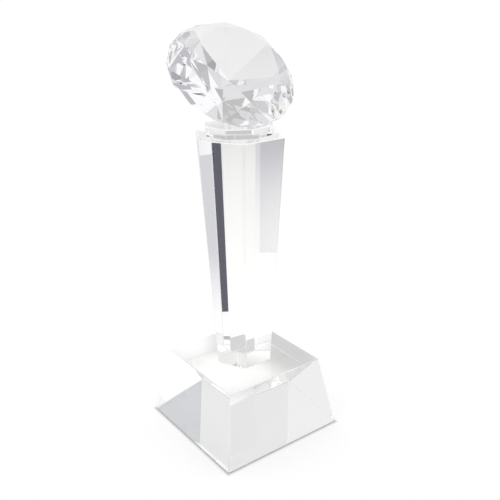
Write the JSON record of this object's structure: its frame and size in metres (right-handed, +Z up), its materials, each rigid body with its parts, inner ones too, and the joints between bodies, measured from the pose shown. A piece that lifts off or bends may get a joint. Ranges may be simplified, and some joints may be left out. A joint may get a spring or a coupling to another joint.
{
  "type": "crystal award",
  "caption": "Free-standing crystal award: a tilted faceted diamond on a tapered hexagonal column and a square base with sloping sides.",
  "frame": {"origin": "on the surface the award stands on, under the centre of the square base", "axes": "+Z up, -Y to the front, +X to the right, both square to the sides of the base"},
  "size_m": [0.0809, 0.0798, 0.2338],
  "materials": {
    "optical_crystal": "ground flat and polished clear",
    "clear_adhesive": "cured clear film, faintly warm"
  },
  "bodies": {
    "root": {"base": "optical_crystal", "base_bond": "clear_adhesive", "column": "optical_crystal", "column_bond": "clear_adhesive", "collar": "optical_crystal", "collar_bond": "clear_adhesive", "diamond": "optical_crystal"}
  },
  "joints": []
}
